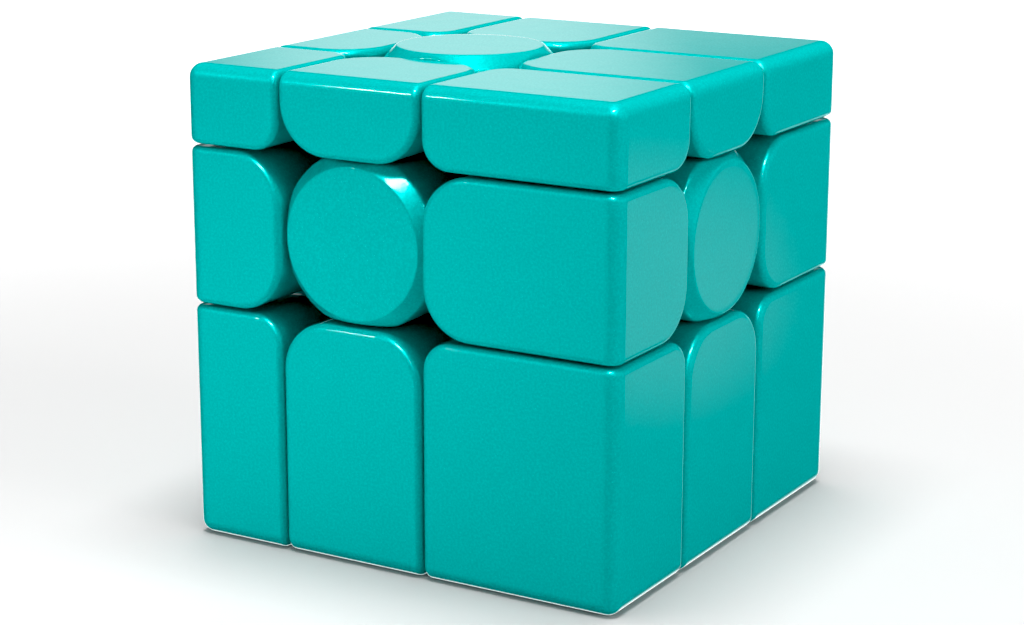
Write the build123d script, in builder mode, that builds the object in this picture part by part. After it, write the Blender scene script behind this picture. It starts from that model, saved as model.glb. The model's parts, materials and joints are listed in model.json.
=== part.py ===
from build123d import *
import os
from math import hypot, radians, sqrt, tan

# A 3 x 3 x 3 twisty cube whose six outer layers all have different thicknesses.
# Frame: +Z up, -Y is the front, the origin is the middle of the face it stands on.
# Sizes are in millimetres.

# Layers, measured through the solved cube
middle_layer = 19.0
left_layer = 13.0
right_layer = 25.0
front_layer = 17.0
back_layer = 21.0
bottom_layer = 28.5
top_layer = 9.5

# Gaps and walls
half_gap = 0.15        # each piece stands back this far from every cut
fit_gap = 0.1          # plug to socket
running_gap = 0.05     # washer and spring to their neighbours
wall = 1.8             # hollow shells

# Rounding
cube_round = 1.7       # edges of the whole cube
seam_round = 0.8       # rim of a piece, along the seams
corner_piece_round = 3.5
edge_piece_round = 6.0
center_piece_bulge = 1.1   # how far its round corners reach past its flat sides
center_piece_blend = 3.0   # between the flat sides and the round corners
cap_face_radius = 8.85
cap_rim_round = 0.25

# How the spring-held center caps sit, against the faces around them
front_cap_sink = 0.8
top_cap_rise = 0.6

# Tracks: inside these balls the pieces reach past the cuts and hold each other
lip_depth = 1.4        # lip track below the surface of the thinnest layer
lip_thickness = 1.8
foot_thickness = 3.7
neck_tuck = 1.0
foot_tuck = 3.2
stem_height = 1.5
socket_wall = 1.0

# Center pieces, along their own axis from the middle of the core
flange_angle = 43.0
floor_start = 7.2
floor_thickness = 1.5
column_start = 10.5
column_round = 1.5
column_end = 15.6
cap_plug_radius = 4.9
chamber_radius = 3.4
screw_hole_radius = 1.5

# Core and hardware
core_radius = 6.0
arm_radius = 3.2
arm_end = 7.0
screw_radius = 1.25
screw_start = 2.5
screw_head_radius = 2.8
screw_head_start = 12.7
screw_head_height = 2.0
slot_length = 3.6      # cross recess in the screw heads
slot_width = 0.8
slot_depth = 0.9
washer_inner = 1.45
washer_outer = 3.0
washer_thickness = 0.5
spring_radius = 2.25
spring_wire = 0.3
spring_turns = 4

# Worked out from the values above
layers = [(left_layer, right_layer), (front_layer, back_layer), (bottom_layer, top_layer)]
cut = middle_layer / 2
reach = [(cut + low, cut + high) for low, high in layers]
size = [low + middle_layer + high for low, high in layers]
thinnest = min(min(pair) for pair in layers)
core_center = (reach[0][0] - size[0] / 2, reach[1][0] - size[1] / 2, reach[2][0])
cube_center = (0, 0, size[2] / 2)

neck_cut = cut - neck_tuck
foot_cut = cut - foot_tuck
lip_radius = hypot(cut, cut + thinnest - lip_depth)
neck_radius = lip_radius - lip_thickness
bowl_radius = neck_radius - foot_thickness
stem_radius = lip_radius + stem_height
socket_end = cut + thinnest - wall
plug_end = socket_end - fit_gap
slope = sqrt(2 / 3)    # how far a circle across a space diagonal spreads along each axis
corner_socket_radius = (stem_radius / sqrt(3) - cut - half_gap) / slope - socket_wall
socket_length = sqrt(3) * (cut + half_gap + wall + slope * corner_socket_radius)
plug_length = sqrt(3) * (plug_end - slope * corner_socket_radius)
edge_plug_half = cut - half_gap - edge_piece_round
floor_end = floor_start + floor_thickness

side_names = [("left", "right"), ("front", "back"), ("bottom", "top")]
piece_round = {2: edge_piece_round, 3: corner_piece_round}
cap_stand = {(0, -1, 0): -front_cap_sink, (0, 0, 1): top_cap_rise}
kind_names = {1: "center", 2: "edge", 3: "corner"}


def piece_name(slot):
    """Name of a piece from the faces it shows, as in top_front_left_corner."""
    faces = [side_names[axis][slot[axis] > 0] for axis in (2, 1, 0) if slot[axis]]
    return "_".join(faces + [kind_names[len(faces)]])


def zone(slot, cut_at, inset=0.0):
    """Room that a piece has on each axis when the cuts stand at cut_at, less an inset."""
    room = []
    for axis in range(3):
        low, high = -cut_at + half_gap, cut_at - half_gap
        if slot[axis] < 0:
            low, high = -reach[axis][0], -cut_at - half_gap
        if slot[axis] > 0:
            low, high = cut_at + half_gap, reach[axis][1]
        room.append((low + inset, high - inset))
    return room


def across(axis):
    """Plane through the middle of the core, square to an axis, with the next two as its own."""
    direction = [(1, 0, 0), (0, 1, 0), (0, 0, 1)]
    return Plane(origin=core_center, x_dir=direction[(axis + 1) % 3], z_dir=direction[axis])


def box_of(room, rounded_edges=None, radius=0.0):
    """Box that fills a room, with its chosen edges rounded."""
    with BuildPart(across(2)) as box:
        with Locations([tuple((low + high) / 2 for low, high in room)]):
            Box(*(high - low for low, high in room))
        if rounded_edges:
            fillet(box.edges().filter_by(rounded_edges), radius)
    return box.part


def rounded_block(slot, room, radius):
    """Box that fills a room, rounded along the edges that run in from the faces it shows."""
    def runs_in(edge):
        middle = (edge @ 0.5) - Vector(*core_center)
        low_ends = [abs(value) <= min(map(abs, ends)) + 0.001 for value, ends in zip(middle, room)]
        running = [abs(value) > 0.5 for value in edge % 0.5].index(True)
        return slot[running] and all(low_ends[axis] for axis in range(3) if axis != running)
    return box_of(room, runs_in, radius)


with BuildPart() as cube_form:
    with Locations([cube_center]):
        Box(*size)
    fillet(cube_form.edges(), cube_round)


def on_rim(edge):
    """True where an edge runs on the skin of the whole cube and isn't a line of that skin."""
    middle = (edge @ 0.5) - Vector(*cube_center)
    over = [abs(value) - half / 2 + cube_round for value, half in zip(middle, size)]
    outside = Vector(*(max(value, 0) for value in over)).length
    on_skin = abs(outside + min(max(over), 0) - cube_round) < 0.001
    return on_skin and min(abs(value) for value in over) > 0.001


def ball(radius, mode):
    """Ball about the middle of the core, joined to or cut from the piece being made."""
    with Locations([core_center]):
        Sphere(radius, mode=mode)


def diagonal_circle(slot, radius):
    """Circle about the space diagonal of a corner piece, for its plug and its socket."""
    with BuildSketch(Plane(origin=core_center, z_dir=slot)) as circle:
        Circle(radius)
    return circle.sketch


def make_shell(slot):
    """Hollow outer shell of an edge or corner piece."""
    shown = sum(map(abs, slot))
    radius = piece_round[shown]
    block = rounded_block(slot, zone(slot, cut), radius)
    hollow = rounded_block(slot, zone(slot, cut, wall), radius - wall)
    if shown == 3:
        with BuildPart() as socket:
            extrude(diagonal_circle(slot, corner_socket_radius), amount=socket_length)
    with BuildPart() as shell:
        add(block)
        add(cube_form.part, mode=Mode.INTERSECT)
        fillet(shell.edges().filter_by(on_rim), seam_round)
        add(hollow, mode=Mode.SUBTRACT)
        if shown == 3:
            add(socket.part, mode=Mode.SUBTRACT)
        ball(stem_radius if shown == 3 else lip_radius + half_gap, Mode.SUBTRACT)
    return shell


def between_balls(block, inner_radius, outer_radius):
    """The share of a block that lies between two balls about the core."""
    with BuildPart() as share:
        add(block)
        ball(outer_radius, Mode.INTERSECT)
        ball(inner_radius, Mode.SUBTRACT)
    return share.part


def make_corner_foot(slot):
    """Inner half of a corner piece: foot, neck, stem and a round plug for the shell."""
    inside = bowl_radius + half_gap
    toe = between_balls(box_of(zone(slot, foot_cut)), inside, neck_radius - half_gap)
    neck = between_balls(box_of(zone(slot, neck_cut)), inside, lip_radius - half_gap)
    stem = rounded_block(slot, zone(slot, cut), corner_piece_round)
    with BuildPart() as foot:
        add(toe)
        add(neck)
        add(between_balls(stem, inside, stem_radius))
        extrude(diagonal_circle(slot, corner_socket_radius - fit_gap), amount=plug_length)
        ball(inside, Mode.SUBTRACT)
    return foot


def make_edge_foot(slot):
    """Inner half of an edge piece: foot, neck, seat and a square plug for the shell."""
    along = slot.index(0)

    def room(along_cut, outer_cut):
        space = zone(slot, outer_cut)
        space[along] = (-along_cut + half_gap, along_cut - half_gap)
        return box_of(space)

    plug = [tuple(sorted((side * (cut + half_gap + wall + fit_gap), side * plug_end))) for side in slot]
    plug[along] = (-edge_plug_half, edge_plug_half)
    inside, over_neck = bowl_radius + half_gap, neck_radius + half_gap
    toe = between_balls(room(foot_cut, foot_cut), inside, neck_radius - half_gap)
    riser = between_balls(room(foot_cut, neck_cut), inside, lip_radius - half_gap)
    neck = between_balls(room(neck_cut, neck_cut), over_neck, lip_radius - half_gap)
    seat = between_balls(room(neck_cut, cut), over_neck, lip_radius + half_gap)
    with BuildPart() as foot:
        add(toe)
        add(riser)
        add(neck)
        add(seat)
        add(between_balls(box_of(plug), over_neck, 2 * plug_end))
    return foot


def outward(slot, height=0.0):
    """Plane square to a center piece's axis, at a height above the middle of the core."""
    axis = [abs(value) for value in slot].index(1)
    return Plane(origin=core_center, x_dir=across(axis).x_dir, z_dir=slot).offset(height)


def face_reach(slot):
    """Distance from the middle of the core to the face that a center piece shows."""
    axis = [abs(value) for value in slot].index(1)
    return reach[axis][slot[axis] > 0] + cap_stand.get(slot, 0)


def disc(slot, radius, start, end, mode=Mode.ADD):
    """Cylinder on a center piece's axis between two heights."""
    with BuildSketch(outward(slot, start)) as circle:
        Circle(radius)
    extrude(circle.sketch, amount=end - start, mode=mode)


def square_bar(slot, half_width, radius, start, end, mode=Mode.ADD):
    """Bar of rounded square section on a center piece's axis between two heights."""
    with BuildSketch(outward(slot, start)) as square:
        RectangleRounded(2 * half_width, 2 * half_width, radius)
    extrude(square.sketch, amount=end - start, mode=mode)


def center_bar(slot, inset, start, end, mode=Mode.ADD):
    """Bar of a center piece's own section, four flat sides and round corners, between two heights."""
    half_width = cut - half_gap - inset
    with BuildSketch(outward(slot, start)) as section:
        Circle(half_width + center_piece_bulge)
        Rectangle(2 * half_width, 2 * half_width, mode=Mode.INTERSECT)
        fillet(section.vertices(), center_piece_blend)
    extrude(section.sketch, amount=end - start, mode=mode)


def make_center_body(slot):
    """Flange, column and spring chamber of a center piece."""
    spread = tan(radians(flange_angle))
    with BuildPart() as body:
        with Locations([outward(slot, (floor_start + bowl_radius) / 2)]):
            Cone(floor_start * spread, bowl_radius * spread, bowl_radius - floor_start)
        ball(bowl_radius - half_gap, Mode.INTERSECT)
        square_bar(slot, foot_cut - half_gap, column_round, column_start, column_end)
        disc(slot, cap_plug_radius, column_end, plug_end)
        disc(slot, chamber_radius, floor_end, plug_end, Mode.SUBTRACT)
        disc(slot, screw_hole_radius, 0, floor_end, Mode.SUBTRACT)
    return body


def make_center_cap(slot):
    """Hollow cap of a center piece, with a round face on a cone."""
    top = face_reach(slot)
    with BuildPart() as skirt:
        center_bar(slot, 0, 0, top)
        ball(lip_radius + half_gap, Mode.SUBTRACT)
    with BuildPart() as collar:
        center_bar(slot, neck_tuck, 0, top)
        ball(neck_radius + half_gap, Mode.SUBTRACT)
    with BuildPart() as cap:
        add(skirt.part)
        add(collar.part)
        disc(slot, foot_cut - half_gap, column_end, socket_end + wall)
        with Locations([outward(slot, top / 2)]):
            Cone(cap_face_radius + top, cap_face_radius, top, mode=Mode.INTERSECT)
        fillet(cap.faces().sort_by(Axis(core_center, slot))[-1].edges(), cap_rim_round)
        disc(slot, cap_plug_radius + fit_gap, column_end, socket_end, Mode.SUBTRACT)
        if top - wall > socket_end + wall:
            center_bar(slot, wall, socket_end + wall, top - wall, Mode.SUBTRACT)
    return cap


def save(part, name):
    """Label a finished piece and write it as a STEP file."""
    part.label = name
    export_step(part, f"parts/{name}.step")


slots = [(x, y, z) for x in (-1, 0, 1) for y in (-1, 0, 1) for z in (-1, 0, 1) if (x, y, z) != (0, 0, 0)]
center_slots = [slot for slot in slots if sum(map(abs, slot)) == 1]

for slot in slots:
    name = piece_name(slot)
    if slot in center_slots:
        save(make_center_body(slot).part, name + "_body")
        save(make_center_cap(slot).part, name + "_cap")
    else:
        make_foot = make_corner_foot if 0 not in slot else make_edge_foot
        save(make_foot(slot).part, name + "_foot")
        save(make_shell(slot).part, name + "_shell")

with BuildPart() as core:
    ball(core_radius, Mode.ADD)
    for slot in center_slots:
        disc(slot, arm_radius, 0, arm_end)
    for slot in center_slots:
        disc(slot, screw_radius, screw_start, arm_end, Mode.SUBTRACT)
save(core.part, "core")

screw_head_end = screw_head_start + screw_head_height
with BuildPart() as screws:
    for slot in center_slots:
        disc(slot, screw_radius, screw_start, screw_head_start)
        disc(slot, screw_head_radius, screw_head_start, screw_head_end)
        with BuildSketch(outward(slot, screw_head_end)):
            Rectangle(slot_length, slot_width)
            Rectangle(slot_width, slot_length)
        extrude(amount=-slot_depth, mode=Mode.SUBTRACT)
save(screws.part, "screws")

washer_start = floor_end + running_gap
washer_end = washer_start + washer_thickness
with BuildPart() as washers:
    for slot in center_slots:
        disc(slot, washer_outer, washer_start, washer_end)
        disc(slot, washer_inner, washer_start, washer_end, Mode.SUBTRACT)
save(washers.part, "washers")

spring_start = washer_end + running_gap + spring_wire
spring_height = screw_head_start - running_gap - spring_wire - spring_start
with BuildPart() as springs:
    for slot in center_slots:
        foot = outward(slot, spring_start)
        with BuildLine() as coil:
            Helix(spring_height / spring_turns, spring_height, spring_radius, foot.origin, foot.z_dir)
        with BuildSketch(Plane(origin=coil.line @ 0, z_dir=coil.line % 0)) as wire:
            Circle(spring_wire)
        sweep(wire.sketch, path=coil.line, is_frenet=True)
save(springs.part, "springs")
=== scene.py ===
import json
import math

import bmesh
import bpy
from bpy.props import (
    FloatProperty,
    FloatVectorProperty,
    IntProperty,
    PointerProperty,
)
from mathutils import Matrix, Quaternion, Vector


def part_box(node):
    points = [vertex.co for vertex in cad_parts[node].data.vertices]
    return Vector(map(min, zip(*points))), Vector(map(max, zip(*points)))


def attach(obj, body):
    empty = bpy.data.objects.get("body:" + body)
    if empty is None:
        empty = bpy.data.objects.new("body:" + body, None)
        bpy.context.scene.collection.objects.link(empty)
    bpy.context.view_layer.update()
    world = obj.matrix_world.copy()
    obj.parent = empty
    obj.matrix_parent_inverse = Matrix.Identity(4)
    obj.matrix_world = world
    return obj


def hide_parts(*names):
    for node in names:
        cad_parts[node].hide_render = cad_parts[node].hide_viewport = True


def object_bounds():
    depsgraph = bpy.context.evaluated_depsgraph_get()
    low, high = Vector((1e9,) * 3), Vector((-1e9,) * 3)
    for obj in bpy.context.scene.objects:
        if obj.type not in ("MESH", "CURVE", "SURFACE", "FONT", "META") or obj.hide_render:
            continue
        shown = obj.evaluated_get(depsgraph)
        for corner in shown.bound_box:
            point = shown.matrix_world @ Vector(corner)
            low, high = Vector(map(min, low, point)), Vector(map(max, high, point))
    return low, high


bl_info = {
    "name": "Uneven Twisty Cube",
    "version": (1, 0, 0),
    "blender": (4, 5, 0),
    "location": "View3D > Sidebar > Twisty Cube",
    "description": "Finishes, turned center caps, springs and studio for a twisty cube of uneven layers",
    "category": "Object",
}

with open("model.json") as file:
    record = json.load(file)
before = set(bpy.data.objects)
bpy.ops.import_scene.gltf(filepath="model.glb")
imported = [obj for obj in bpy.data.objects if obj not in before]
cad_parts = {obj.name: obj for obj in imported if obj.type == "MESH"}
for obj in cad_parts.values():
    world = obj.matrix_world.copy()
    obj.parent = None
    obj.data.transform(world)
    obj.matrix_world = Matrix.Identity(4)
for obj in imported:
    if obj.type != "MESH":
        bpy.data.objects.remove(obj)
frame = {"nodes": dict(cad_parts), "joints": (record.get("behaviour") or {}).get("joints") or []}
cad_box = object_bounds()

MM = 0.001
SIDES = {
    "left": Vector((-1, 0, 0)), "right": Vector((1, 0, 0)),
    "front": Vector((0, -1, 0)), "back": Vector((0, 1, 0)),
    "bottom": Vector((0, 0, -1)), "top": Vector((0, 0, 1)),
}
CORE_CENTER = Vector(frame["joints"][0]["pos_m"])
# Where mesh rings lie on a cap's face, and how far down the bevel its streaks reach full depth, as shares.
FACE_RINGS = (0.2, 0.4, 0.6, 0.8, 0.93)
STREAK_START = 0.2
SHARP_EDGE = math.radians(40)


# Node trees


def fill(tree, socket, value):
    """Links an input socket to another socket, or gives it a plain value."""
    if isinstance(value, bpy.types.NodeSocket):
        tree.links.new(value, socket)
    else:
        socket.default_value = value


def add_node(tree, kind, settings=None, **values):
    """A node of a kind, with its settings and its inputs, by name or, as i0, i1 and so on, by number."""
    node = tree.nodes.new(kind)
    for name, value in (settings or {}).items():
        setattr(node, name, value)
    for name, value in values.items():
        numbered = name[0] == "i" and name[1:].isdigit()
        fill(tree, node.inputs[int(name[1:]) if numbered else name.replace("_", " ")], value)
    return node


def math_node(tree, operation, first, second=0.0, third=0.0):
    """Result of one sum on values or sockets."""
    node = add_node(tree, "ShaderNodeMath", {"operation": operation}, i0=first, i1=second, i2=third)
    return node.outputs[0]


def step_between(tree, value, low, high, to_low=0.0, to_high=1.0):
    """Smooth step of a value between two limits."""
    node = add_node(tree, "ShaderNodeMapRange", {"interpolation_type": "SMOOTHSTEP"},
                    Value=value, From_Min=low, From_Max=high, To_Min=to_low, To_Max=to_high)
    return node.outputs[0]


def blend_colors(tree, share, first, second):
    """Colour between two colours."""
    node = tree.nodes.new("ShaderNodeMix")
    node.data_type = "RGBA"
    for number, value in ((0, share), (6, first), (7, second)):
        fill(tree, node.inputs[number], value)
    return node.outputs[2]


def new_group(name, inputs, outputs):
    """Empty shader node group with named sockets. Returns the tree, its input and its output node."""
    tree = bpy.data.node_groups.new(name, "ShaderNodeTree")
    for label, kind, default in inputs:
        socket = tree.interface.new_socket(label, in_out="INPUT", socket_type=kind)
        if default is not None:
            socket.default_value = default
    for label, kind in outputs:
        tree.interface.new_socket(label, in_out="OUTPUT", socket_type=kind)
    return tree, tree.nodes.new("NodeGroupInput"), tree.nodes.new("NodeGroupOutput")


def use_group(tree, group, **values):
    """A group placed in a material with its own values."""
    node = tree.nodes.new("ShaderNodeGroup")
    node.node_tree = group
    for name, value in values.items():
        fill(tree, node.inputs[name.replace("_", " ")], value)
    return node


def flake_group():
    """Fine pale flakes under a clear coat: sparse bright ones and a dense dim dust."""
    name = "Lacquer Flakes"
    if name in bpy.data.node_groups:
        return bpy.data.node_groups[name]
    tree, given, result = new_group(
        name,
        [("Vector", "NodeSocketVector", None), ("Flake Size", "NodeSocketFloat", 0.3 * MM),
         ("Share", "NodeSocketFloat", 0.1)],
        [("Flake", "NodeSocketFloat"), ("Dust", "NodeSocketFloat")])
    scale = math_node(tree, "DIVIDE", 1.0, given.outputs["Flake Size"])
    cells = add_node(tree, "ShaderNodeTexVoronoi", Vector=given.outputs["Vector"], Scale=scale)
    shade = tree.nodes.new("ShaderNodeSeparateColor")
    tree.links.new(cells.outputs["Color"], shade.inputs[0])
    middle = step_between(tree, cells.outputs["Distance"], 0.2, 0.36, 1.0, 0.0)
    rarity = math_node(tree, "SUBTRACT", 1.0, given.outputs["Share"])
    chosen = math_node(tree, "GREATER_THAN", shade.outputs[0], rarity)
    strength = math_node(tree, "MULTIPLY_ADD", shade.outputs[1], 0.7, 0.3)
    flake = math_node(tree, "MULTIPLY", math_node(tree, "MULTIPLY", middle, chosen), strength)
    grain = add_node(tree, "ShaderNodeTexNoise", Vector=given.outputs["Vector"],
                     Scale=math_node(tree, "MULTIPLY", scale, 0.8), Detail=3.0, Roughness=0.7)
    dust = step_between(tree, grain.outputs[0], 0.38, 0.66)
    tree.links.new(flake, result.inputs["Flake"])
    tree.links.new(dust, result.inputs["Dust"])
    return tree


def grain_group():
    """Height of a moulded skin: a soft waviness and a fine grain."""
    name = "Moulded Skin"
    if name in bpy.data.node_groups:
        return bpy.data.node_groups[name]
    tree, given, result = new_group(
        name,
        [("Vector", "NodeSocketVector", None), ("Wave Size", "NodeSocketFloat", 6 * MM),
         ("Grain Size", "NodeSocketFloat", 0.3 * MM), ("Grain", "NodeSocketFloat", 0.3)],
        [("Height", "NodeSocketFloat"), ("Smudge", "NodeSocketFloat")])
    wave = add_node(tree, "ShaderNodeTexNoise", Vector=given.outputs["Vector"],
                    Scale=math_node(tree, "DIVIDE", 1.0, given.outputs["Wave Size"]), Detail=1.0)
    grain = add_node(tree, "ShaderNodeTexNoise", Vector=given.outputs["Vector"],
                     Scale=math_node(tree, "DIVIDE", 1.0, given.outputs["Grain Size"]), Detail=2.0)
    fine = math_node(tree, "MULTIPLY", grain.outputs[0], given.outputs["Grain"])
    smudge = add_node(tree, "ShaderNodeTexNoise", Vector=given.outputs["Vector"],
                      Scale=math_node(tree, "DIVIDE", 2.2, given.outputs["Wave Size"]),
                      Detail=4.0, Distortion=0.6)
    tree.links.new(math_node(tree, "ADD", wave.outputs[0], fine), result.inputs["Height"])
    tree.links.new(step_between(tree, smudge.outputs[0], 0.4, 0.75), result.inputs["Smudge"])
    return tree


def wear_group():
    """Where hands and turning rub the cube: along its twelve outer edges, broken up."""
    name = "Edge Rub"
    if name in bpy.data.node_groups:
        return bpy.data.node_groups[name]
    tree, given, result = new_group(
        name,
        [("Vector", "NodeSocketVector", None), ("Center", "NodeSocketVector", None),
         ("Half Size", "NodeSocketFloat", 28.5 * MM), ("Reach", "NodeSocketFloat", 0.9 * MM)],
        [("Rub", "NodeSocketFloat")])
    offset = add_node(tree, "ShaderNodeVectorMath", {"operation": "SUBTRACT"},
                      i0=given.outputs["Vector"], i1=given.outputs["Center"]).outputs[0]
    spread = add_node(tree, "ShaderNodeVectorMath", {"operation": "ABSOLUTE"}, i0=offset).outputs[0]
    parts = add_node(tree, "ShaderNodeSeparateXYZ", i0=spread).outputs
    highest = math_node(tree, "MAXIMUM", math_node(tree, "MAXIMUM", parts[0], parts[1]), parts[2])
    lowest = math_node(tree, "MINIMUM", math_node(tree, "MINIMUM", parts[0], parts[1]), parts[2])
    total = math_node(tree, "ADD", math_node(tree, "ADD", parts[0], parts[1]), parts[2])
    second = math_node(tree, "SUBTRACT", math_node(tree, "SUBTRACT", total, highest), lowest)
    inset = math_node(tree, "SUBTRACT", given.outputs["Half Size"], second)
    near = math_node(tree, "DIVIDE", inset, given.outputs["Reach"])
    broken = add_node(tree, "ShaderNodeTexNoise", Vector=given.outputs["Vector"], Scale=900.0,
                      Detail=5.0, Roughness=0.7).outputs[0]
    edge = step_between(tree, near, 0.4, 1.4, 1.0, 0.0)
    rub = math_node(tree, "MULTIPLY", edge, step_between(tree, broken, 0.5, 0.68))
    tree.links.new(rub, result.inputs["Rub"])
    return tree


def new_material(name, **plain):
    """A Principled material with plain values on its own sockets. Returns it, its tree and shader."""
    material = bpy.data.materials.new(name)
    material.use_nodes = True
    tree = material.node_tree
    shader = tree.nodes["Principled BSDF"]
    for label, value in plain.items():
        shader.inputs[label.replace("_", " ")].default_value = value
    return material, tree, shader


def object_coordinates(tree):
    """The socket that gives a place in the cube's own frame."""
    return tree.nodes.new("ShaderNodeTexCoord").outputs["Object"]


def bump_normal(tree, height, strength, distance):
    """A normal from a height."""
    node = add_node(tree, "ShaderNodeBump", Strength=strength, Distance=distance, Height=height)
    return node.outputs["Normal"]


def teal_lacquer(finish):
    """Glossy teal lacquer: flake paint under a clear coat."""
    name = "Teal Lacquer"
    if name in bpy.data.materials:
        return bpy.data.materials[name]
    material, tree, shader = new_material(
        name, Coat_Weight=1.0, Coat_Roughness=finish.coat_roughness, Coat_IOR=finish.coat_ior,
        Specular_IOR_Level=finish.base_specular)
    place = object_coordinates(tree)
    flakes = use_group(tree, flake_group(), Vector=place, Flake_Size=finish.flake_size,
                       Share=finish.flake_share)
    skin = use_group(tree, grain_group(), Vector=place, Wave_Size=finish.wave_size,
                     Grain_Size=0.35 * MM, Grain=0.12)
    low, high = cad_box
    rub = use_group(tree, wear_group(), Vector=place, Center=(low + high) / 2,
                    Half_Size=(high - low).x / 2)
    deep, pale = (*finish.lacquer_deep, 1), (*finish.lacquer_color, 1)
    flake_pale = (*finish.flake_color, 1)
    rubbed = math_node(tree, "MULTIPLY", rub.outputs[0], finish.rub_strength)
    sparkle = math_node(tree, "MULTIPLY", flakes.outputs["Flake"], finish.flake_strength)
    paint = blend_colors(tree, flakes.outputs["Dust"], deep, pale)
    paint = blend_colors(tree, rubbed, paint, flake_pale)
    paint = blend_colors(tree, sparkle, paint, flake_pale)
    tree.links.new(paint, shader.inputs["Base Color"])
    gloss = math_node(tree, "MULTIPLY_ADD", skin.outputs["Smudge"], 0.05, finish.base_roughness)
    tree.links.new(gloss, shader.inputs["Roughness"])
    metal = math_node(tree, "MULTIPLY_ADD", flakes.outputs["Dust"], 0.08, finish.flake_metal)
    tree.links.new(metal, shader.inputs["Metallic"])
    tree.links.new(bump_normal(tree, skin.outputs["Height"], 0.25, finish.wave_height),
                   shader.inputs["Normal"])
    return material


def mechanism_plastic(finish):
    """Moulded black plastic of the inner mechanism, with a fine spark-eroded grain."""
    name = "Mechanism Plastic"
    if name in bpy.data.materials:
        return bpy.data.materials[name]
    material, tree, shader = new_material(name, Specular_IOR_Level=0.35)
    place = object_coordinates(tree)
    skin = use_group(tree, grain_group(), Vector=place, Wave_Size=4 * MM, Grain_Size=0.15 * MM,
                     Grain=0.8)
    color = blend_colors(tree, skin.outputs["Smudge"], (*finish.mechanism_color, 1),
                         (*[1.5 * value for value in finish.mechanism_color], 1))
    tree.links.new(color, shader.inputs["Base Color"])
    rough = math_node(tree, "MULTIPLY_ADD", skin.outputs["Smudge"], 0.15, 0.42)
    tree.links.new(rough, shader.inputs["Roughness"])
    tree.links.new(bump_normal(tree, skin.outputs["Height"], 0.4, 0.02 * MM), shader.inputs["Normal"])
    return material


def core_plastic(finish):
    """Moulded white plastic of the core, faintly yellowed and greasy."""
    name = "Core Plastic"
    if name in bpy.data.materials:
        return bpy.data.materials[name]
    material, tree, shader = new_material(name)
    place = object_coordinates(tree)
    skin = use_group(tree, grain_group(), Vector=place, Wave_Size=5 * MM, Grain_Size=0.2 * MM,
                     Grain=0.6)
    color = blend_colors(tree, skin.outputs["Smudge"], (*finish.core_color, 1), (0.62, 0.6, 0.52, 1))
    tree.links.new(color, shader.inputs["Base Color"])
    rough = math_node(tree, "MULTIPLY_ADD", skin.outputs["Smudge"], -0.2, 0.5)
    tree.links.new(rough, shader.inputs["Roughness"])
    tree.links.new(bump_normal(tree, skin.outputs["Height"], 0.3, 0.02 * MM), shader.inputs["Normal"])
    return material


def zinc_steel(finish):
    """Bright zinc plating with fine drawing marks and dull patches."""
    name = "Zinc Plated Steel"
    if name in bpy.data.materials:
        return bpy.data.materials[name]
    material, tree, shader = new_material(name, Metallic=1.0)
    place = object_coordinates(tree)
    skin = use_group(tree, grain_group(), Vector=place, Wave_Size=1.5 * MM, Grain_Size=0.08 * MM,
                     Grain=0.9)
    color = blend_colors(tree, skin.outputs["Smudge"], (*finish.steel_color, 1), (0.42, 0.44, 0.48, 1))
    tree.links.new(color, shader.inputs["Base Color"])
    rough = math_node(tree, "MULTIPLY_ADD", skin.outputs["Smudge"], 0.25, 0.2)
    tree.links.new(rough, shader.inputs["Roughness"])
    tree.links.new(bump_normal(tree, skin.outputs["Height"], 0.3, 0.008 * MM), shader.inputs["Normal"])
    return material


def paint_nodes(names, material):
    """Gives CAD nodes a material in place of the plain one they came with."""
    for name in names:
        mesh = frame["nodes"][name].data
        mesh.materials.clear()
        mesh.materials.append(material)


def keep_piece(mesh, name, body, material, replaced=()):
    """Finishes a new piece: one material, on its body, standing for CAD nodes."""
    piece = bpy.data.objects.new(name, mesh)
    bpy.context.scene.collection.objects.link(piece)
    mesh.materials.clear()
    mesh.materials.append(material)
    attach(piece, body)
    if replaced:
        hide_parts(*replaced)
    return piece


# Sizes and colours


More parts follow.
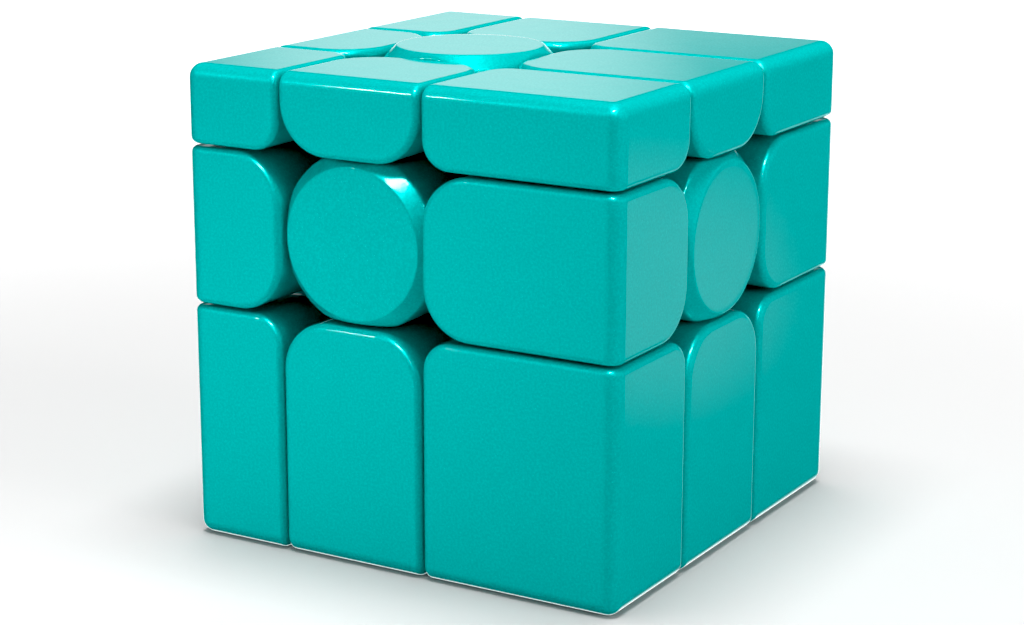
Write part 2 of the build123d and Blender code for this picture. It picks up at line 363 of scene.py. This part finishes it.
class CubeFinish(bpy.types.PropertyGroup):
    """Colours and finishes."""

    lacquer_color: FloatVectorProperty(
        name="Lacquer", description="Lacquer where flakes lie thick",
        subtype="COLOR", default=(0.0, 0.52, 0.5))
    lacquer_deep: FloatVectorProperty(
        name="Lacquer between flakes", description="Lacquer where flakes lie thin",
        subtype="COLOR", default=(0.0, 0.44, 0.425))
    flake_color: FloatVectorProperty(
        name="Flake", description="Pale flakes",
        subtype="COLOR", default=(0.05, 0.8, 0.78))
    flake_size: FloatProperty(
        name="Flake cell", description="Room around one flake",
        subtype="DISTANCE", default=0.24 * MM, precision=5)
    flake_share: FloatProperty(
        name="Flake share", description="Share of cells that hold a bright flake",
        subtype="FACTOR", default=0.1)
    flake_strength: FloatProperty(
        name="Flake strength", description="How pale the bright flakes are",
        subtype="FACTOR", default=0.45)
    flake_metal: FloatProperty(
        name="Flake shine", description="How far the paint shines as metal does",
        subtype="FACTOR", default=0.35)
    base_roughness: FloatProperty(
        name="Paint roughness", description="Roughness under the clear coat",
        subtype="FACTOR", default=0.38)
    base_specular: FloatProperty(
        name="Paint specular", description="Specular level under the clear coat",
        subtype="FACTOR", default=0.0)
    coat_roughness: FloatProperty(
        name="Coat roughness", description="Roughness of the clear coat",
        subtype="FACTOR", default=0.05)
    coat_ior: FloatProperty(
        name="Coat IOR", description="Refractive index of the clear coat",
        default=1.3)
    wave_size: FloatProperty(
        name="Skin wave", description="Length of the coat's slight waviness",
        subtype="DISTANCE", default=7 * MM, precision=4)
    wave_height: FloatProperty(
        name="Skin wave height", description="Height of the coat's waviness",
        subtype="DISTANCE", default=0.01 * MM, precision=6)
    rub_strength: FloatProperty(
        name="Edge rub", description="How far handling has paled the cube's edges",
        subtype="FACTOR", default=0.12)
    mechanism_color: FloatVectorProperty(
        name="Mechanism", description="Black plastic of the feet",
        subtype="COLOR", default=(0.006, 0.008, 0.009))
    core_color: FloatVectorProperty(
        name="Core", description="White plastic of the core",
        subtype="COLOR", default=(0.78, 0.77, 0.72))
    steel_color: FloatVectorProperty(
        name="Steel", description="Zinc plated hardware",
        subtype="COLOR", default=(0.66, 0.67, 0.68))


class CenterCapSizes(bpy.types.PropertyGroup):
    """Turned caps of the six center pieces, in their own axis."""

    face_radius: FloatProperty(
        name="Face radius", description="Radius of the round face",
        subtype="DISTANCE", default=8.85 * MM, precision=5)
    face_dish: FloatProperty(
        name="Face dish", description="How far the face dips toward its middle",
        subtype="DISTANCE", default=0.02 * MM, precision=5)
    rim_round: FloatProperty(
        name="Rim round", description="Rounding between face and bevel",
        subtype="DISTANCE", default=0.35 * MM, precision=5)
    side_round: FloatProperty(
        name="Side round", description="Rounding between bevel and sides",
        subtype="DISTANCE", default=0.8 * MM, precision=5)
    half_width: FloatProperty(
        name="Half width", description="Half the width over the flat sides",
        subtype="DISTANCE", default=9.35 * MM, precision=5)
    bulge: FloatProperty(
        name="Bulge", description="How far the round corners reach past the flat sides",
        subtype="DISTANCE", default=1.1 * MM, precision=5)
    blend: FloatProperty(
        name="Blend", description="How sharply flat sides turn into round corners",
        default=60.0)
    collar_inset: FloatProperty(
        name="Collar inset", description="How far the collar stands in from the sides",
        subtype="DISTANCE", default=1.0 * MM, precision=5)
    skirt_ball: FloatProperty(
        name="Skirt track", description="Radius of the track under the skirt, about the core",
        subtype="DISTANCE", default=20.1516 * MM, precision=5)
    collar_ball: FloatProperty(
        name="Collar track", description="Radius of the track under the collar, about the core",
        subtype="DISTANCE", default=18.3516 * MM, precision=5)
    hub_radius: FloatProperty(
        name="Hub radius", description="Hub around the socket",
        subtype="DISTANCE", default=6.15 * MM, precision=5)
    hub_start: FloatProperty(
        name="Hub start", description="Height of the hub's foot over the core",
        subtype="DISTANCE", default=15.6 * MM, precision=5)
    socket_radius: FloatProperty(
        name="Socket radius", description="Socket for the body's plug",
        subtype="DISTANCE", default=5.0 * MM, precision=5)
    socket_end: FloatProperty(
        name="Socket end", description="Height of the socket's end over the core",
        subtype="DISTANCE", default=17.2 * MM, precision=5)
    streaks: IntProperty(
        name="Bevel streaks", description="Fine cutter streaks around the bevel",
        default=252, min=8, max=400)
    streak_depth: FloatProperty(
        name="Streak depth", description="Depth of a streak",
        subtype="DISTANCE", default=0.006 * MM, precision=6)
    nicks: IntProperty(
        name="Side nicks", description="Cutter marks around the bevel's outer edge",
        default=63, min=8, max=400)
    nick_depth: FloatProperty(
        name="Nick depth", description="Depth of a cutter mark",
        subtype="DISTANCE", default=0.02 * MM, precision=6)
    steps: IntProperty(
        name="Steps per streak", description="Mesh steps along one streak",
        default=4, min=2, max=16)
    bevel_rings: IntProperty(
        name="Bevel rings", description="Mesh rings down the bevel",
        default=5, min=2, max=40)


class SpringSizes(bpy.types.PropertyGroup):
    """Coil springs on the six arms."""

    radius: FloatProperty(
        name="Coil radius", description="Radius of the coil's own line",
        subtype="DISTANCE", default=2.25 * MM, precision=5)
    wire: FloatProperty(
        name="Wire radius", description="Radius of the wire",
        subtype="DISTANCE", default=0.3 * MM, precision=5)
    turns: FloatProperty(name="Turns", description="Open turns", default=4.0)
    end_turns: FloatProperty(name="Closed turns", description="Closed turns at each end", default=1.0)
    sides: IntProperty(
        name="Wire sides", description="Mesh sides of the wire",
        default=12, min=6, max=32)
    points: IntProperty(
        name="Wire points", description="Mesh points along the wire",
        default=360, min=90, max=720)
    seat: FloatProperty(
        name="Seat", description="Height of the spring's lower end over the core",
        subtype="DISTANCE", default=8.75 * MM, precision=5)


class StudioSizes(bpy.types.PropertyGroup):
    """Camera, floor and light."""

    camera_place: FloatVectorProperty(
        name="Camera place", description="Where the camera stands",
        subtype="TRANSLATION", default=(0.14345, -0.24604, 0.09829), precision=4)
    camera_azimuth: FloatProperty(
        name="Camera azimuth", description="How far round to the right of the front",
        subtype="ANGLE", default=math.radians(30.47))
    camera_elevation: FloatProperty(
        name="Camera elevation", description="How steeply the camera looks down",
        subtype="ANGLE", default=math.radians(14.464))
    camera_roll: FloatProperty(
        name="Camera roll", description="Tilt of the camera",
        subtype="ANGLE", default=math.radians(-0.123))
    lens: FloatProperty(name="Lens", description="Focal length in mm on a 36 mm sensor", default=84.48)
    floor_color: FloatVectorProperty(
        name="Floor", description="Pale plain floor",
        subtype="COLOR", default=(0.9, 0.9, 0.9))
    # Painted shade: the floor is darker round the cube, so it throws less light back onto the cube's lower rows.
    floor_painted_shade_color: FloatVectorProperty(
        name="Painted shade under the cube", description="Floor darkened round the cube as painted shade",
        subtype="COLOR", default=(0.47, 0.47, 0.47))
    floor_painted_shade_start: FloatProperty(
        name="Shade start", description="Distance at which the floor begins to pale",
        subtype="DISTANCE", default=70 * MM, precision=4)
    floor_painted_shade_end: FloatProperty(
        name="Shade end", description="Distance at which the floor is at its palest",
        subtype="DISTANCE", default=500 * MM, precision=4)
    # Painted glow: the floor itself emits light away from the cube, though it is no lamp.
    floor_painted_glow: FloatProperty(
        name="Floor painted glow", description="Painted glow of the floor far from the cube",
        default=0.6)
    table_glow: FloatProperty(
        name="Table glow", description="Power of the light thrown back by the table in front",
        unit="POWER", default=0.028)
    backdrop_strength: FloatProperty(
        name="Backdrop", description="Strength of the backdrop that flat tops mirror",
        default=0.85)
    rim_strength: FloatProperty(
        name="Rim light", description="Strength of the patch that right-hand rims mirror",
        default=1.2)
    far_rim_strength: FloatProperty(
        name="Far rim light", description="Strength of the patch that far edges mirror",
        default=2.0)
    window_strength: FloatProperty(
        name="Window", description="Strength of the patch that the right side mirrors",
        default=0.6)
    room_strength: FloatProperty(
        name="Dark room", description="Strength of the room that mirrored rays see elsewhere",
        default=0.01)
    table_strength: FloatProperty(
        name="Table", description="Strength of the pale table that the front mirrors",
        default=0.5)
    wall_strength: FloatProperty(
        name="Walls", description="Soft light from the tent's walls",
        default=0.45)
    roof_strength: FloatProperty(
        name="Roof", description="Soft light from the tent's roof",
        default=0.52)
    floor_reach: FloatProperty(
        name="Floor reach", description="Half the width of the floor",
        subtype="DISTANCE", default=4.0)
    black_point: FloatProperty(
        name="Black point", description="Light level that shows as black",
        default=0.014)
    fill_top: FloatProperty(
        name="Top fill", description="Power of the broad overhead light",
        unit="POWER", default=6.2)
    fill_side: FloatProperty(
        name="Side fill", description="Power of the broad light on the right",
        unit="POWER", default=2.1)
    sky_strength: FloatProperty(name="Sky", description="Strength of the tent's own light", default=1.0)
    top_power: FloatProperty(
        name="Top light", description="Power of the overhead softbox",
        unit="POWER", default=5.0)
    side_power: FloatProperty(
        name="Side lights", description="Power of each side softbox",
        unit="POWER", default=0.7)


# Pieces


class PUZZLE_OT_lacquered_shells(bpy.types.Operator):
    """Paint the outer shells of the edge and corner pieces"""

    bl_idname = "puzzle.lacquered_shells"
    bl_label = "Lacquered shells"

    def execute(self, context):
        shells = [name for name in frame["nodes"] if name.endswith("_shell")]
        paint_nodes(shells, teal_lacquer(context.scene.cube_finish))
        return {"FINISHED"}


class PUZZLE_OT_feet(bpy.types.Operator):
    """Give the feet and center bodies their moulded black plastic"""

    bl_idname = "puzzle.feet"
    bl_label = "Feet and center bodies"

    def execute(self, context):
        feet = [name for name in frame["nodes"] if name.endswith(("_foot", "_body"))]
        paint_nodes(feet, mechanism_plastic(context.scene.cube_finish))
        return {"FINISHED"}


class PUZZLE_OT_core(bpy.types.Operator):
    """Give the core its white plastic and the screws and washers their plating"""

    bl_idname = "puzzle.core"
    bl_label = "Core, screws and washers"

    def execute(self, context):
        finish = context.scene.cube_finish
        paint_nodes(["core"], core_plastic(finish))
        paint_nodes(["screws", "washers"], zinc_steel(finish))
        return {"FINISHED"}


def section_radius(angle, half_width, bulge, blend):
    """Radius at an angle of a round section with four flat sides."""
    turn = (angle + math.pi / 4) % (math.pi / 2) - math.pi / 4
    flat, corner = half_width / math.cos(turn), half_width + bulge
    return (flat ** -blend + corner ** -blend) ** (-1 / blend)


def bend(radius, height, size, start, end, dents, steps=5):
    """Points of a rounding between two slopes, from the point where the slopes would meet."""
    back = size * math.tan((end - start) / 2)
    first = (radius - back * math.cos(start), height + back * math.sin(start))
    points = []
    for step in range(steps):
        turn = start + (end - start) * step / (steps - 1)
        dent = dents * math.sin(math.pi * step / (steps - 1))
        points.append((first[0] + size * (math.sin(turn) - math.sin(start)) - dent * math.sin(turn),
                       first[1] - size * (math.cos(start) - math.cos(turn)) - dent * math.cos(turn)))
    return points


def cap_rings(cap, angle, top):
    """Radius and height of each ring of a center cap at an angle, from its face to its socket."""
    side = section_radius(angle, cap.half_width, cap.bulge, cap.blend)
    collar = section_radius(angle, cap.half_width - cap.collar_inset, cap.bulge, cap.blend)
    streak = cap.streak_depth * (1 - math.cos(angle * cap.streaks)) / 2
    nick = cap.nick_depth * (1 - math.cos(angle * cap.nicks)) / 2
    slope = math.pi / 4
    rim = bend(cap.face_radius, top, cap.rim_round, 0, slope, 0)
    edge = bend(side, top - (side - cap.face_radius), cap.side_round, slope, math.pi / 2, nick)
    rings = [(share * rim[0][0], top - cap.face_dish * (1 - share * share)) for share in FACE_RINGS]
    rings += rim
    (first, start), (last, end) = rim[-1], edge[0]
    for step in range(1, cap.bevel_rings):
        share = step / cap.bevel_rings
        dent = streak * min(1.0, share / STREAK_START) / math.sqrt(2)
        rings.append((first + share * (last - first) - dent, start + share * (end - start) - dent))
    rings += edge
    rings.append((side, math.sqrt(cap.skirt_ball ** 2 - side ** 2)))
    rings.append((collar, math.sqrt(cap.skirt_ball ** 2 - collar ** 2)))
    rings.append((collar, math.sqrt(cap.collar_ball ** 2 - collar ** 2)))
    rings.append((cap.hub_radius, math.sqrt(cap.collar_ball ** 2 - cap.hub_radius ** 2)))
    rings.append((cap.hub_radius, cap.hub_start))
    rings.append((cap.socket_radius, cap.hub_start))
    rings.append((cap.socket_radius, cap.socket_end))
    return rings


def cap_mesh(name, axis, top, cap):
    """Closed mesh of a center cap on an axis out of the core."""
    count = cap.streaks * cap.steps
    sideways = Vector((axis.z, axis.x, axis.y))
    across = Matrix((sideways, axis.cross(sideways), axis)).transposed()
    mesh = bmesh.new()
    columns = []
    for index in range(count):
        angle = math.tau * index / count
        column = []
        for radius, height in cap_rings(cap, angle, top):
            local = Vector((radius * math.cos(angle), radius * math.sin(angle), height))
            column.append(mesh.verts.new(CORE_CENTER + across @ local))
        columns.append(column)
    face_middle = mesh.verts.new(CORE_CENTER + axis * (top - cap.face_dish))
    socket_middle = mesh.verts.new(CORE_CENTER + axis * cap.socket_end)
    for index, column in enumerate(columns):
        following = columns[(index + 1) % count]
        mesh.faces.new((face_middle, column[0], following[0]))
        mesh.faces.new((column[-1], socket_middle, following[-1]))
        for ring in range(len(column) - 1):
            mesh.faces.new((column[ring], column[ring + 1], following[ring + 1], following[ring]))
    bmesh.ops.recalc_face_normals(mesh, faces=mesh.faces)
    for edge in mesh.edges:
        edge.smooth = edge.calc_face_angle(0) < SHARP_EDGE
    for face in mesh.faces:
        face.smooth = True
    made = bpy.data.meshes.new(name)
    mesh.to_mesh(made)
    mesh.free()
    return made


class PUZZLE_OT_center_caps(bpy.types.Operator):
    """Turn the six center caps: a round face on a bevel with fine cutter marks"""

    bl_idname = "puzzle.center_caps"
    bl_label = "Center caps"

    def execute(self, context):
        finish, cap = context.scene.cube_finish, context.scene.center_cap_sizes
        for side, axis in SIDES.items():
            node = side + "_center_cap"
            low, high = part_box(node)
            top = max((low - CORE_CENTER).dot(axis), (high - CORE_CENTER).dot(axis))
            mesh = cap_mesh(side + "_center_turned_cap", axis, top, cap)
            keep_piece(mesh, mesh.name, side + "_center", teal_lacquer(finish), [node])
        return {"FINISHED"}


def spring_tree(springs, height, material):
    """Geometry node tree that winds one spring and sets it on every arm."""
    tree = bpy.data.node_groups.new("Wind Springs", "GeometryNodeTree")
    tree.interface.new_socket("Geometry", in_out="INPUT", socket_type="NodeSocketGeometry")
    identifiers = {}
    for label, kind, value in (
        ("Coil Radius", "NodeSocketFloat", springs.radius), ("Wire Radius", "NodeSocketFloat", springs.wire),
        ("Open Turns", "NodeSocketFloat", springs.turns), ("Closed Turns", "NodeSocketFloat", springs.end_turns),
        ("Height", "NodeSocketFloat", height), ("Seat", "NodeSocketFloat", springs.seat),
        ("Wire Sides", "NodeSocketInt", springs.sides), ("Points", "NodeSocketInt", springs.points),
    ):
        socket = tree.interface.new_socket(label, in_out="INPUT", socket_type=kind)
        socket.default_value = value
        identifiers[label] = socket.identifier
    tree.interface.new_socket("Geometry", in_out="OUTPUT", socket_type="NodeSocketGeometry")
    given, result = tree.nodes.new("NodeGroupInput"), tree.nodes.new("NodeGroupOutput")
    size = given.outputs
    line = add_node(tree, "GeometryNodeCurvePrimitiveLine", i0=(0, 0, 0), i1=(0, 0, 1))
    smooth = add_node(tree, "GeometryNodeResampleCurve", Curve=line.outputs[0], Count=size["Points"])
    along = tree.nodes.new("GeometryNodeSplineParameter").outputs["Factor"]
    turns = math_node(tree, "MULTIPLY_ADD", size["Closed Turns"], 2.0, size["Open Turns"])
    angle = math_node(tree, "MULTIPLY", math_node(tree, "MULTIPLY", along, turns), math.tau)
    closed = math_node(tree, "DIVIDE", size["Closed Turns"], turns)
    opened = math_node(tree, "SUBTRACT", 1.0, closed)
    wire_width = math_node(tree, "MULTIPLY", size["Wire Radius"], 2.0)
    wire_rise = math_node(tree, "MULTIPLY", wire_width, size["Closed Turns"])
    first_top = math_node(tree, "ADD", size["Wire Radius"], wire_rise)
    first = add_node(tree, "ShaderNodeMapRange", Value=along, From_Min=0.0, From_Max=closed,
                     To_Min=size["Wire Radius"], To_Max=first_top).outputs[0]
    end = math_node(tree, "SUBTRACT", size["Height"], size["Wire Radius"])
    middle_rise = math_node(tree, "SUBTRACT", math_node(tree, "SUBTRACT", size["Height"], wire_width),
                            math_node(tree, "MULTIPLY", wire_rise, 2.0))
    middle = add_node(tree, "ShaderNodeMapRange", Value=along, From_Min=closed, From_Max=opened,
                      To_Min=0.0, To_Max=middle_rise).outputs[0]
    last = add_node(tree, "ShaderNodeMapRange", Value=along, From_Min=opened, From_Max=1.0,
                    To_Min=0.0, To_Max=wire_rise).outputs[0]
    rise = math_node(tree, "ADD", math_node(tree, "ADD", first, middle), last)
    rise = math_node(tree, "MINIMUM", rise, end)
    place = add_node(tree, "ShaderNodeCombineXYZ",
                     X=math_node(tree, "MULTIPLY", math_node(tree, "COSINE", angle), size["Coil Radius"]),
                     Y=math_node(tree, "MULTIPLY", math_node(tree, "SINE", angle), size["Coil Radius"]),
                     Z=math_node(tree, "ADD", rise, size["Seat"]))
    coil = add_node(tree, "GeometryNodeSetPosition", Geometry=smooth.outputs[0], Position=place.outputs[0])
    section = add_node(tree, "GeometryNodeCurvePrimitiveCircle", Resolution=size["Wire Sides"],
                       Radius=size["Wire Radius"])
    wire = add_node(tree, "GeometryNodeCurveToMesh", Curve=coil.outputs[0], Profile_Curve=section.outputs[0])
    wire.inputs["Fill Caps"].default_value = True
    arm = add_node(tree, "GeometryNodeInputNamedAttribute", {"data_type": "FLOAT_VECTOR"}, Name="arm")
    turned = add_node(tree, "FunctionNodeAlignRotationToVector", {"axis": "Z"}, Vector=arm.outputs[0])
    placed = add_node(tree, "GeometryNodeInstanceOnPoints", Points=size["Geometry"],
                      Instance=wire.outputs[0], Rotation=turned.outputs[0])
    real = add_node(tree, "GeometryNodeRealizeInstances", Geometry=placed.outputs[0])
    smooth_faces = add_node(tree, "GeometryNodeSetShadeSmooth", Geometry=real.outputs[0])
    plated = add_node(tree, "GeometryNodeSetMaterial", Geometry=smooth_faces.outputs[0], Material=material)
    tree.links.new(plated.outputs[0], result.inputs[0])
    return tree, identifiers


def grown_mesh(points, tree, inputs, name):
    """Plain mesh that a geometry node tree grows on points."""
    grower = bpy.data.objects.new(name + "_grower", points)
    bpy.context.scene.collection.objects.link(grower)
    modifier = grower.modifiers.new("Grow", "NODES")
    modifier.node_group = tree
    for identifier, value in inputs.items():
        modifier[identifier] = value
    evaluated = grower.evaluated_get(bpy.context.evaluated_depsgraph_get())
    mesh = bpy.data.meshes.new_from_object(evaluated)
    mesh.name = name
    grower.modifiers.clear()
    bpy.data.objects.remove(grower)
    if not mesh.polygons:
        raise RuntimeError(f"{name} came out empty")
    return mesh


class PUZZLE_OT_springs(bpy.types.Operator):
    """Wind the six coil springs, with closed ends, on the arms of the core"""

    bl_idname = "puzzle.springs"
    bl_label = "Coil springs"

    def execute(self, context):
        finish, springs = context.scene.cube_finish, context.scene.spring_sizes
        low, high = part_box("springs")
        height = high.z - CORE_CENTER.z - springs.seat
        material = zinc_steel(finish)
        tree, identifiers = spring_tree(springs, height, material)
        points = bpy.data.meshes.new("arms")
        points.from_pydata([CORE_CENTER] * 6, [], [])
        arm = points.attributes.new("arm", "FLOAT_VECTOR", "POINT")
        for item, axis in zip(arm.data, SIDES.values()):
            item.vector = axis
        inputs = {identifiers["Seat"]: springs.seat, identifiers["Height"]: height}
        mesh = grown_mesh(points, tree, inputs, "coil_springs")
        keep_piece(mesh, mesh.name, "core", material, ["springs"])
        return {"FINISHED"}


# Stage


def softbox(name, azimuth, elevation, distance, width, height, power, target):
    """Rectangular area light round the object, aimed at it."""
    light = bpy.data.lights.new(name, "AREA")
    light.shape = "RECTANGLE"
    light.size, light.size_y, light.energy = width, height, power
    a, e = math.radians(azimuth), math.radians(elevation)
    out = Vector((math.sin(a) * math.cos(e), -math.cos(a) * math.cos(e), math.sin(e)))
    lamp = bpy.data.objects.new(name, light)
    lamp.location = target + out * distance
    lamp.rotation_mode = "QUATERNION"
    lamp.rotation_quaternion = (-out).to_track_quat("-Z", "Y")
    bpy.context.scene.collection.objects.link(lamp)
    return lamp


def toward(tree, direction, azimuth, elevation):
    """Cosine between a direction and one that points back and left of the cube at two angles."""
    node = add_node(tree, "ShaderNodeVectorMath", {"operation": "DOT_PRODUCT"}, i0=direction,
                    i1=(-math.sin(azimuth) * math.cos(elevation), math.cos(azimuth) * math.cos(elevation),
                        math.sin(elevation)))
    return node.outputs["Value"]


def tent_sky(studio):
    """White tent: soft light from walls and roof, while mirrored rays see bright patches in a dark room."""
    world = bpy.data.worlds.new("White Tent")
    world.use_nodes = True
    bpy.context.scene.world = world
    tree = world.node_tree
    background = tree.nodes["Background"]
    direction = tree.nodes.new("ShaderNodeTexCoord").outputs["Generated"]
    height = add_node(tree, "ShaderNodeSeparateXYZ", i0=direction).outputs["Z"]
    mirrored = studio.room_strength
    # One bright patch a line: azimuth, elevation, outer and inner half angle in degrees, strength.
    for azimuth, elevation, outer, inner, strength in (
        (32.0, 8.5, 7.5, 0.0, studio.backdrop_strength),
        (12.0, -16.0, 26.0, 18.0, studio.rim_strength),
        (30.5, -25.0, 36.0, 24.0, studio.far_rim_strength),
        (145.0, -15.0, 40.0, 0.0, studio.table_strength),
        (-27.3, -13.7, 4.2, 0.6, studio.window_strength),
    ):
        cosine = toward(tree, direction, math.radians(azimuth), math.radians(elevation))
        edge, heart = math.cos(math.radians(outer)), math.cos(math.radians(inner))
        patch = step_between(tree, cosine, edge, heart, 0.0, strength)
        mirrored = math_node(tree, "MAXIMUM", mirrored, patch)
    soft = step_between(tree, height, -0.2, 0.8, studio.wall_strength, studio.roof_strength)
    path = tree.nodes.new("ShaderNodeLightPath").outputs
    level = blend_colors(tree, path["Is Glossy Ray"], soft, mirrored)
    color = blend_colors(tree, path["Is Camera Ray"], level, (1.0, 1.0, 1.0, 1.0))
    tree.links.new(color, background.inputs["Color"])
    background.inputs["Strength"].default_value = studio.sky_strength


class PUZZLE_OT_stage(bpy.types.Operator):
    """Set the pale floor, with painted shade round the cube and a painted glow further out, the white tent, the
    softboxes and the camera
    """

    bl_idname = "puzzle.stage"
    bl_label = "Stage"

    def execute(self, context):
        studio, scene = context.scene.studio_sizes, context.scene
        low, high = cad_box
        middle = (low + high) / 2
        mesh = bpy.data.meshes.new("floor")
        reach = studio.floor_reach
        corners = [(x * reach, y * reach, low.z) for x, y in ((-1, -1), (1, -1), (1, 1), (-1, 1))]
        mesh.from_pydata(corners, [], [(0, 1, 2, 3)])
        material, tree, shader = new_material("Pale Floor", Roughness=0.7, Specular_IOR_Level=0.2)
        # Painted shade: the floor's colour is darker near the cube and pales with distance from it.
        away = add_node(tree, "ShaderNodeVectorMath", {"operation": "LENGTH"}, i0=object_coordinates(tree))
        spread = step_between(tree, away.outputs["Value"], studio.floor_painted_shade_start, studio.floor_painted_shade_end)
        pale = blend_colors(tree, spread, (*studio.floor_painted_shade_color, 1), (*studio.floor_color, 1))
        tree.links.new(pale, shader.inputs["Base Color"])
        # Painted glow: the floor emits light, none near the cube and more with distance from it.
        tree.links.new(spread, shader.inputs["Emission Color"])
        shader.inputs["Emission Strength"].default_value = studio.floor_painted_glow
        mesh.materials.append(material)
        floor = bpy.data.objects.new("floor", mesh)
        scene.collection.objects.link(floor)
        floor.visible_glossy = False
        tent_sky(studio)
        # One light a line: name, azimuth and elevation in degrees, distance, width, height, power.
        for row in (
            ("overhead_softbox", 25, 58, 0.7, 0.2, 0.14, studio.top_power),
            ("left_softbox", -36, 28, 0.8, 0.05, 0.05, studio.side_power),
            ("right_softbox", 37, 28, 0.8, 0.05, 0.05, studio.side_power),
        ):
            softbox(*row, middle).visible_diffuse = False
        for row in (
            ("top_fill", 0, 90, 0.6, 0.3, 0.3, studio.fill_top),
            ("side_fill", 90, 15, 0.6, 0.3, 0.3, studio.fill_side),
            ("table_glow", -20, -5, 0.11, 0.06, 0.03, studio.table_glow),
        ):
            lamp = softbox(*row, middle)
            lamp.visible_glossy = lamp.visible_camera = False
        camera = bpy.data.cameras.new("camera")
        camera.lens, camera.sensor_width = studio.lens, 36.0
        camera.clip_start, camera.clip_end = 0.01, 50.0
        holder = bpy.data.objects.new("camera", camera)
        a, e = studio.camera_azimuth, studio.camera_elevation
        forward = Vector((-math.sin(a) * math.cos(e), math.cos(a) * math.cos(e), -math.sin(e)))
        holder.location = studio.camera_place
        holder.rotation_mode = "QUATERNION"
        roll = Quaternion(forward, studio.camera_roll)
        holder.rotation_quaternion = roll @ forward.to_track_quat("-Z", "Y")
        scene.collection.objects.link(holder)
        scene.camera = holder
        scene.view_settings.view_transform = "Standard"
        scene.view_settings.use_curve_mapping = True
        scene.view_settings.curve_mapping.black_level = (studio.black_point,) * 3
        return {"FINISHED"}


class PUZZLE_PT_panel(bpy.types.Panel):
    """Lists the pieces and their sizes"""

    bl_idname = "PUZZLE_PT_panel"
    bl_label = "Twisty Cube"
    bl_space_type = "VIEW_3D"
    bl_region_type = "UI"
    bl_category = "Twisty Cube"

    def draw(self, context):
        for operator, group in STEPS:
            self.layout.operator(operator.bl_idname)
        for name, _ in GROUPS:
            box = self.layout.box()
            sizes = getattr(context.scene, name)
            for label in sizes.__annotations__:
                box.prop(sizes, label)


GROUPS = (
    ("cube_finish", CubeFinish),
    ("center_cap_sizes", CenterCapSizes),
    ("spring_sizes", SpringSizes),
    ("studio_sizes", StudioSizes),
)
STEPS = (
    (PUZZLE_OT_stage, "studio_sizes"),
    (PUZZLE_OT_lacquered_shells, "cube_finish"),
    (PUZZLE_OT_feet, "cube_finish"),
    (PUZZLE_OT_core, "cube_finish"),
    (PUZZLE_OT_center_caps, "center_cap_sizes"),
    (PUZZLE_OT_springs, "spring_sizes"),
)
CLASSES = (
    *(group for _, group in GROUPS),
    *(step for step, _ in STEPS),
    PUZZLE_PT_panel,
)


def register():
    for one in CLASSES:
        bpy.utils.register_class(one)
    for name, group in GROUPS:
        setattr(bpy.types.Scene, name, PointerProperty(type=group))


def unregister():
    for name, _ in GROUPS:
        delattr(bpy.types.Scene, name)
    for one in reversed(CLASSES):
        bpy.utils.unregister_class(one)


def main():
    """Make everything in order."""
    register()
    for step, _ in STEPS:
        getattr(bpy.ops.puzzle, step.bl_idname.split(".")[1])()


if __name__ == "__main__":
    main()
